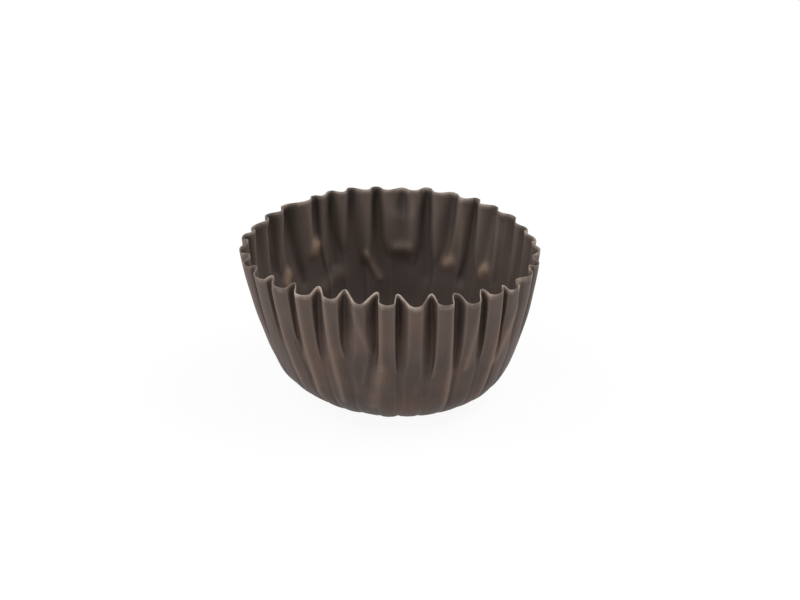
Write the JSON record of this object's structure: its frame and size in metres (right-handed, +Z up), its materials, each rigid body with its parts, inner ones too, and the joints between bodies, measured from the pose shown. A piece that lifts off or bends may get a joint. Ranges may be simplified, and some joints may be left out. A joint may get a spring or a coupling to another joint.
{
  "type": "paper candy cup",
  "caption": "Small round fluted cup pressed from one disc of dark brown paper, with a flat base, a round heel and an open zigzag rim, for holding a single sweet.",
  "frame": {"origin": "middle of the flat base's underside, the face the cup stands on", "axes": "+Z up, out of the open rim; -Y is the side that faces the picture's camera; +X is to the right in the picture"},
  "size_m": [0.0368, 0.0354, 0.0197],
  "materials": {
    "brown_paper": "dark brown waxed paper with a soft sheen, lighter along the folds and the cut edge"
  },
  "bodies": {
    "root": {"fluted_cup": "brown_paper"}
  },
  "joints": []
}
